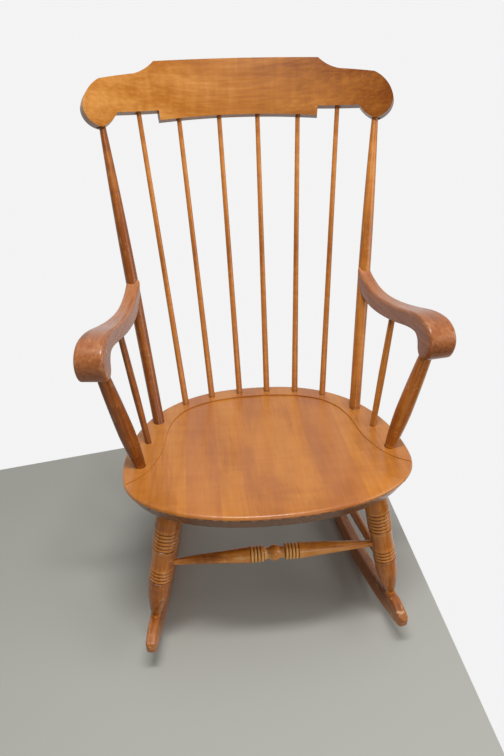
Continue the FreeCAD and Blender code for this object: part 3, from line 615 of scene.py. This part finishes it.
# painted light: the front stretcher gets a lighter, more varied copy of the turned wood,
# standing in for light that falls on it under the seat
stretcherPaintedLight = {"cloud": 0.42, "dark": (0.15, 0.040, 0.006), "middle": (0.52, 0.175, 0.022),
                  "light": (0.74, 0.380, 0.100)}
front = stretcherShape["front"]
bar, turn = turnOnLathe("turned_front_stretcher",
                        frontBar(spanOf(front["start"], front["finish"])),
                        front["start"], front["finish"], front["steps"], front["grooveStain"])
finishPiece(bar, "front_stretcher", "turned_wood", front["start"], turn,
            changes=stretcherPaintedLight)
rear = stretcherShape["rear"]
bar, turn = turnOnLathe("turned_rear_stretcher",
                        plainBar(spanOf(rear["start"], rear["finish"]), rear["radius"]),
                        rear["start"], rear["finish"], stretcherShape["steps"])
finishPiece(bar, "rear_stretcher", "turned_wood", rear["start"], turn)
for side in ("left", "right"):
    ends = stretcherShape["side"]
    start, finish = ends["start"], ends["finish"]
    if side == "right":
        start, finish = mirroredX(start), mirroredX(finish)
    bar, turn = turnOnLathe("turned_side_stretcher_" + side,
                            plainBar(spanOf(start, finish), ends["radius"]),
                            start, finish, stretcherShape["steps"])
    finishPiece(bar, "side_stretcher_" + side, "turned_wood", start, turn)
print("stretchers turned")


# Back posts, arm posts and spindles

# a dark line of stain round each foot, on a few close rings of the outline
footLine = {"at": 1.0, "low": 2.0, "high": 3.0}
# painted light: the right-hand back posts, arm posts and arm spindles are made much darker as
# painted shade, the left-hand ones a touch lighter
paintedLightBySide = {"left": 0.02, "right": -0.42}

postShape = {
    "base": (0.21942, -0.01858, 0.37160), "top": (0.28773, 0.22827, 0.94272),
    "atArm": 287.7, "baseRadius": 12.0, "armRadius": 13.2, "upperRadius": 11.4,
    "topRadius": 6.8, "intoSeat": 6.0, "intoCrest": 28.0, "steps": 40,
}
armPostShape = {
    "base": (0.24981, -0.17845, 0.37816), "top": (0.28944, -0.19859, 0.59110),
    "baseRadius": 10.5, "bellyRadius": 15.8, "topRadius": 12.0, "land": 4.0,
    "bellyShare": 0.4, "intoSeat": 6.0, "intoArm": 6.0, "steps": 44,
}
armSpindleShape = {
    "base": (0.23825, -0.09832, 0.37487), "top": (0.27089, -0.05579, 0.60510),
    "radii": (6.2, 7.2, 6.2), "intoSeat": 10.0, "intoTop": 14.0, "steps": 28,
}
backSpindleShape = {
    "radii": (7.0, 5.8, 5.0), "intoSeat": 10.0, "intoTop": 14.0, "steps": 28,
    "places": [((0.1597, 0.05143, 0.36873), (0.21396, 0.26971, 0.96468)),
               ((0.0985, 0.07714, 0.36767), (0.13012, 0.28778, 0.94759)),
               ((0.0326, 0.08751, 0.36725), (0.04237, 0.30118, 0.94976))],
}


def footMoves(radius, high=footLine["high"]):
    return [("to", radius, 0), ("stain", footLine["at"]), ("to", radius, footLine["low"]),
            ("to", radius, high)]


def postMoves(length):
    s = postShape
    middle = (s["atArm"] + length) / 2
    return [
        ("to", s["baseRadius"], -s["intoSeat"]), *footMoves(s["baseRadius"]),
        ("to", s["armRadius"], s["atArm"]),
        ("over", s["upperRadius"], middle, s["topRadius"], length, 14),
        ("to", s["topRadius"], length + s["intoCrest"]),
    ]


def armPostMoves(length):
    s = armPostShape
    belly = s["bellyShare"] * length
    swell = blended(s["baseRadius"], s["bellyRadius"], 2 / 3)
    ease = blended(s["topRadius"], s["bellyRadius"], 2 / 3)
    return [
        ("to", s["baseRadius"], -s["intoSeat"]), *footMoves(s["baseRadius"], s["land"]),
        ("over", swell, belly / 2, s["bellyRadius"], belly, 12),
        ("over", ease, (belly + length) / 2, s["topRadius"], length, 12),
        ("to", s["topRadius"], length + s["intoArm"]),
    ]


def spindleMoves(shape, length):
    base, middle, top = shape["radii"]
    return [
        ("to", base, -shape["intoSeat"]), *footMoves(base), ("to", middle, length / 2),
        ("to", top, length), ("to", top, length + shape["intoTop"]),
    ]


def turnPair(name, moves, base, top, steps, kind):
    for side in ("left", "right"):
        start, finish = base, top
        if side == "right":
            start, finish = mirroredX(base), mirroredX(top)
        piece, turn = turnOnLathe("turned_" + name + "_" + side, moves, start, finish, steps)
        finishPiece(piece, name + "_" + side, kind, start, turn,
                    changes={"paintedLightShift": paintedLightBySide[side]})


turnPair("back_post", postMoves(spanOf(postShape["base"], postShape["top"])),
         postShape["base"], postShape["top"], postShape["steps"], "spindle_wood")
turnPair("arm_post", armPostMoves(spanOf(armPostShape["base"], armPostShape["top"])),
         armPostShape["base"], armPostShape["top"], armPostShape["steps"], "turned_wood")
turnPair("arm_spindle",
         spindleMoves(armSpindleShape,
                      spanOf(armSpindleShape["base"], armSpindleShape["top"])),
         armSpindleShape["base"], armSpindleShape["top"], armSpindleShape["steps"],
         "spindle_wood")

places = backSpindleShape["places"]
ends = [(mirroredX(base), mirroredX(top)) for base, top in places] + places[::-1]
for order, (base, top) in enumerate(ends, 1):
    name = "back_spindle_" + str(order)
    spindle, turn = turnOnLathe("turned_" + name,
                                spindleMoves(backSpindleShape, spanOf(base, top)),
                                base, top, backSpindleShape["steps"])
    finishPiece(spindle, name, "spindle_wood", base, turn)
print("posts and spindles turned")


# Sawn parts: joined, smooth copies of the frame's own shapes

sawnFinish = {"angle": 30, "weld": 0.02}


def joinedCopy(node, name):
    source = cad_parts[node]
    piece = source.copy()
    piece.data = source.data.copy()
    piece.name = name
    piece.data.name = name
    bpy.context.scene.collection.objects.link(piece)
    pick(piece)
    if piece.data.has_custom_normals:
        bpy.ops.mesh.customdata_custom_splitnormals_clear()
    editMode(True)
    bpy.ops.mesh.select_all(action="SELECT")
    bpy.ops.mesh.remove_doubles(threshold=mm(sawnFinish["weld"]))
    editMode(False)
    smoothByAngle(piece, sawnFinish["angle"])
    return piece


def turned(x, y, z):
    return tuple(math.radians(angle) for angle in (x, y, z))


# the least wear lies behind y = "until", and full wear "over" metres ahead of it. The crest
# rail lies wholly behind its line, so it is evenly rubbed
armWear = {"least": 0.3, "until": -0.12, "over": 0.1}
rockerWear = {"least": 0.4, "until": -0.3, "over": 0.05}
sawnShape = {
    "seat": {"kind": "seat_wood", "turn": turned(90, 0, 0)},
    "crest_rail": {"kind": "crest_wood", "turn": turned(0, 90, 0),
                   "rubbed": {"least": 0.2, "until": -1, "over": 1}},
    "arm_left": {"kind": "arm_wood", "turn": turned(90, 0, 7.4), "rubbed": armWear},
    "arm_right": {"kind": "arm_wood", "turn": turned(90, 0, -7.4), "rubbed": armWear},
    "rocker_left": {"kind": "rocker_wood", "turn": turned(90, 0, 6.8), "rubbed": rockerWear},
    "rocker_right": {"kind": "rocker_wood", "turn": turned(90, 0, -6.8), "rubbed": rockerWear},
}
# each strip says where across the seat it starts, in metres, its tone and its redness
seatBoards = {
    "reach": 0.30, "contrast": 0.38, "redShare": 0.42, "red": (0.37, 0.120, 0.042),
    "strips": [(-0.30, 0.56, 0.0), (-0.163, 0.42, 0.9), (-0.100, 0.62, 0.1),
               (-0.055, 0.50, 0.5), (0.010, 0.60, 0.2), (0.090, 0.40, 0.8),
               (0.165, 0.62, 0.0)],
}

seatEdge = {
    "deckHeight": 0.3757, "deckMiddleY": -0.1185, "tilt": math.radians(2.35),
    "halfWidth": 284.0, "widestY": -80.0, "frontReach": 241.0, "backReach": 229.0,
    "frontFullness": 2.15, "backFullness": 2.35,
    "rollDepth": 6.5, "rollMargin": 0.5, "wallDepth": 15.0, "thickness": 36.0,
    "undercut": 16.0, "rimFrom": 0.9,
}
# where dark colour is painted: stain on the step round the dish, and painted shade on the rim
# under the rolled edge
seatStainAndShade = {
    "stepWithin": 0.965, "stepDepth": 12.0, "steepest": 0.85, "step": 0.5,
    "faintBehind": 60.0, "faintBeyond": 0.92, "faint": 0.2,
    "belowRoll": 2.0, "aboveBottom": 1.0, "rimFrom": 0.885, "rim": 0.75,
}


def onDeck(point):
    # sideways, back and down from the deck's middle, in millimetres
    s = seatEdge
    x, y, z = point[0], point[1] - s["deckMiddleY"], point[2] - s["deckHeight"]
    along = y * math.cos(s["tilt"]) - z * math.sin(s["tilt"])
    below = -(y * math.sin(s["tilt"]) + z * math.cos(s["tilt"]))
    return x * 1000, along * 1000, below * 1000


def outwardShare(x, y):
    # 1 on the seat's outline, less inside it
    s = seatEdge
    front = y < s["widestY"]
    fullness = s["frontFullness"] if front else s["backFullness"]
    reach = s["frontReach"] + s["widestY"] if front else s["backReach"] - s["widestY"]
    return ((abs(x) / s["halfWidth"]) ** fullness
            + (abs(y - s["widestY"]) / reach) ** fullness) ** (1 / fullness)


def shapeSeat(seat):
    # below the rolled top edge the rim runs straight in to the underside, by the same
    # distance as the frame's own rim, which first stands upright
    s = seatEdge
    for vertex in seat.data.vertices:
        x, y, below = onDeck(vertex.co)
        if below < s["rollDepth"] + s["rollMargin"] or outwardShare(x, y) < s["rimFrom"]:
            continue
        share = (below - s["rollDepth"]) / (s["thickness"] - s["rollDepth"])
        ownShare = max(0, (below - s["wallDepth"]) / (s["thickness"] - s["wallDepth"]))
        out = Vector((vertex.normal.x, vertex.normal.y, 0)).normalized()
        vertex.co -= out * mm(s["undercut"] * (share - ownShare))
    stainAndPaintedShade = seat.data.attributes.new("stainAndPaintedShade", "FLOAT", "FACE")
    for face in seat.data.polygons:
        stainAndPaintedShade.data[face.index].value = seatStainAndShadeAt(face)


def seatStainAndShadeAt(face):
    s = seatStainAndShade
    x, y, below = onDeck(face.center)
    outward = outwardShare(x, y)
    if below < s["stepDepth"] and outward < s["stepWithin"] and face.normal.z < s["steepest"]:
        faint = y > s["faintBehind"] or outward > s["faintBeyond"]
        return s["faint"] if faint else s["step"]
    # painted shade: the rim between the rolled edge and the underside is darkened as if in
    # shadow
    rimTop = seatEdge["rollDepth"] + s["belowRoll"]
    rimBottom = seatEdge["thickness"] - s["aboveBottom"]
    onPaintedShadeRim = rimTop < below < rimBottom and outward > s["rimFrom"]
    return s["rim"] if onPaintedShadeRim else 0.0


crestBend = {
    "foot": (0, 0.30276, 0.95002), "back": (0, 0.93358, -0.35837), "radius": 0.652,
    "halfThickness": 0.012, "share": 0.78, "flatWithin": 0.5,
    "edgeWidth": 2.5, "edgeSteps": 3, "edgeAngle": 40, "angle": 35,
    # painted shade: these three values pick the edges square to the rail that look down or
    # sideways, and how dark they are painted
    "squareWithin": 0.6, "downBelow": 0.3, "stain": 0.4,
}


def shapeCrest(crest):
    # the edges stand square to the bend, so the back face is a little longer than the front
    s = crestBend
    back = Vector(s["back"])
    for vertex in crest.data.vertices:
        turn = math.asin(vertex.co.x / s["radius"])
        behind = (vertex.co - Vector(s["foot"])).dot(back)
        depth = behind + s["radius"] * (1 - math.cos(turn)) + s["halfThickness"]
        vertex.co.x += s["share"] * depth * math.sin(turn)
    pick(crest)
    editMode(True)
    bpy.ops.mesh.select_all(action="SELECT")
    bpy.ops.mesh.dissolve_limited(angle_limit=math.radians(s["flatWithin"]))
    editMode(False)
    applyModifier(crest, "BEVEL", width=mm(s["edgeWidth"]), segments=s["edgeSteps"],
                  limit_method="ANGLE", angle_limit=math.radians(s["edgeAngle"]))
    smoothByAngle(crest, s["angle"])
    # painted shade: the edges that look down or sideways are darkened, as if turned away from
    # the light
    stainAndPaintedShade = crest.data.attributes.new("stainAndPaintedShade", "FLOAT", "FACE")
    for face in crest.data.polygons:
        square = abs(face.normal.dot(back)) < s["squareWithin"]
        inPaintedShade = square and face.normal.z < s["downBelow"]
        stainAndPaintedShade.data[face.index].value = s["stain"] if inPaintedShade else 0.0


noseShape = {
    "from": 0.335, "cuts": 3, "tips": (-0.3615, 0.3615), "reach": 0.011, "narrowing": 0.86,
    "middleX": 0.225, "middleY": -0.1185, "toeIn": math.radians(6.8), "angle": 40,
}


def roundNose(rocker):
    # both tips are rounded off from side to side
    s = noseShape
    selectFaces(rocker, lambda face: abs(face.center.y) > s["from"])
    bpy.ops.mesh.subdivide(number_cuts=s["cuts"])
    editMode(False)
    side = math.copysign(1, rocker.data.vertices[0].co.x)
    for vertex in rocker.data.vertices:
        tip = s["tips"][0] if vertex.co.y < 0 else s["tips"][1]
        left = abs(tip) - abs(vertex.co.y)
        if left > s["reach"]:
            continue
        middle = side * (s["middleX"] - (vertex.co.y - s["middleY"]) * math.tan(s["toeIn"]))
        share = 1 - min(1, max(0, left / s["reach"]))
        narrow = math.sqrt(max(0.0, 1 - (s["narrowing"] * share) ** 2))
        vertex.co.x = middle + (vertex.co.x - middle) * narrow
    smoothByAngle(rocker, s["angle"])


def rubSawn(piece, rubbed):
    # wear is strongest at the ends that hands and feet reach
    worn = piece.data.attributes.new("worn", "FLOAT", "POINT")
    for index, vertex in enumerate(piece.data.vertices):
        ahead = min(1, max(0, (rubbed["until"] - vertex.co.y) / rubbed["over"]))
        worn.data[index].value = blended(rubbed["least"], 1, ahead)


for node, shape in sawnShape.items():
    piece = joinedCopy(node, "sawn_" + node)
    place, boards = tuple(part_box(node)[0]), None
    if node == "seat":
        shapeSeat(piece)
        place, boards = (0, 0, 0), seatBoards
    elif node == "crest_rail":
        shapeCrest(piece)
    elif node.startswith("rocker"):
        roundNose(piece)
    if "rubbed" in shape:
        rubSawn(piece, shape["rubbed"])
    finishPiece(piece, node, shape["kind"], place, shape["turn"], boards)

for node in ("crest_pins", "rocker_pins", "arm_dowel_left", "arm_dowel_right"):
    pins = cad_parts[node]
    pins.data.materials.clear()
    pins.data.materials.append(makeWood(node + "_wood", "pin_wood", (0, 0, 0), (0, 0, 0)))
print("seat, crest, arms and rockers finished")


# Floor, light and camera

room = {
    "floorSize": 6.0, "floorColour": (0.37, 0.37, 0.335), "floorRoughness": 0.7,
    "backWall": {"point": (0, 0.473, 0), "normal": (-0.173, 0.985, 0)},
    "sideWall": {"point": (0.366, 0, 0), "normal": (1, 0, 0)},
    "seenStrength": 0.9, "wallStrength": 0.85, "dimStrength": 0.05, "ambient": 0.24,
    "dimUntilY": -0.35, "wallFromY": 0.25,
    "cameraPlace": (-0.1165, -1.1184, 1.1042), "cameraTurn": (59.979, 1.034, -6.028),
    "cameraLens": 28.292,
}
# where each soft light stands and looks, its width and height, and its watts
lights = {
    "overheadLight": ((0.2, -0.5, 2.8), (0, 0, 0.4), (1.8, 1.8), 20),
    "tubeLight": ((-0.1, -0.75, 2.6), (-0.1, -0.3, 0.4), (1.1, 0.2), 36),
    "sideLight": ((2.6, -1.2, 1.4), (0, -0.1, 0.5), (1.8, 1.8), 34),
    "frontLight": ((0.5, -2.6, 0.8), (0, -0.2, 0.3), (1.2, 0.8), 11),
}


def makeFloor():
    # the floor stops where the two walls of the corner stand, and the white beyond is the world
    bpy.ops.object.select_all(action="DESELECT")
    bpy.ops.mesh.primitive_plane_add(size=room["floorSize"], location=(0, 0, 0))
    floor = bpy.context.object
    floor.name = "floor"
    editMode(True)
    for wall in ("backWall", "sideWall"):
        bpy.ops.mesh.select_all(action="SELECT")
        bpy.ops.mesh.bisect(plane_co=room[wall]["point"], plane_no=room[wall]["normal"],
                            clear_outer=True)
    editMode(False)
    material = bpy.data.materials.new("plainFloor")
    material.use_nodes = True
    shader = material.node_tree.nodes["Principled BSDF"]
    shader.inputs["Base Color"].default_value = opaque(room["floorColour"])
    shader.inputs["Roughness"].default_value = room["floorRoughness"]
    floor.data.materials.append(material)


def makeWorld():
    # glossy wood sees white walls beside and behind the chair, and a dim room in front of it
    world = bpy.data.worlds.new("studio")
    bpy.context.scene.world = world
    world.use_nodes = True
    tree = world.node_tree
    background = tree.nodes["Background"]
    background.inputs["Color"].default_value = (1, 1, 1, 1)
    rays = addNode(tree, "ShaderNodeLightPath")
    coordinates = addNode(tree, "ShaderNodeTexCoord")
    way = addNode(tree, "ShaderNodeSeparateXYZ")
    tree.links.new(coordinates.outputs["Generated"], way.inputs[0])
    wall = narrowed(tree, way.outputs["Y"], room["dimUntilY"], room["wallFromY"],
                    room["dimStrength"], room["wallStrength"])
    glossy = calc(tree, "MULTIPLY", rays.outputs["Is Glossy Ray"],
                  calc(tree, "SUBTRACT", wall, room["ambient"]))
    seen = calc(tree, "MULTIPLY", rays.outputs["Is Camera Ray"],
                room["seenStrength"] - room["ambient"])
    strength = calc(tree, "ADD", calc(tree, "ADD", glossy, seen), room["ambient"])
    tree.links.new(strength, background.inputs["Strength"])


def softLight(name, place, target, size, watts):
    light = bpy.data.lights.new(name, "AREA")
    light.shape = "RECTANGLE"
    light.size, light.size_y = size
    light.energy = watts
    holder = bpy.data.objects.new(name, light)
    bpy.context.scene.collection.objects.link(holder)
    holder.location = place
    way = Vector(target) - Vector(place)
    holder.rotation_euler = way.to_track_quat("-Z", "Y").to_euler()


def makeCamera():
    camera = bpy.data.cameras.new("photoView")
    camera.lens = room["cameraLens"]
    holder = bpy.data.objects.new("photoView", camera)
    bpy.context.scene.collection.objects.link(holder)
    holder.location = room["cameraPlace"]
    holder.rotation_euler = [math.radians(angle) for angle in room["cameraTurn"]]
    bpy.context.scene.camera = holder


makeFloor()
makeWorld()
for name, settings in lights.items():
    softLight(name, *settings)
makeCamera()
bpy.context.scene.view_settings.view_transform = "Standard"
print("floor, lights and camera set")
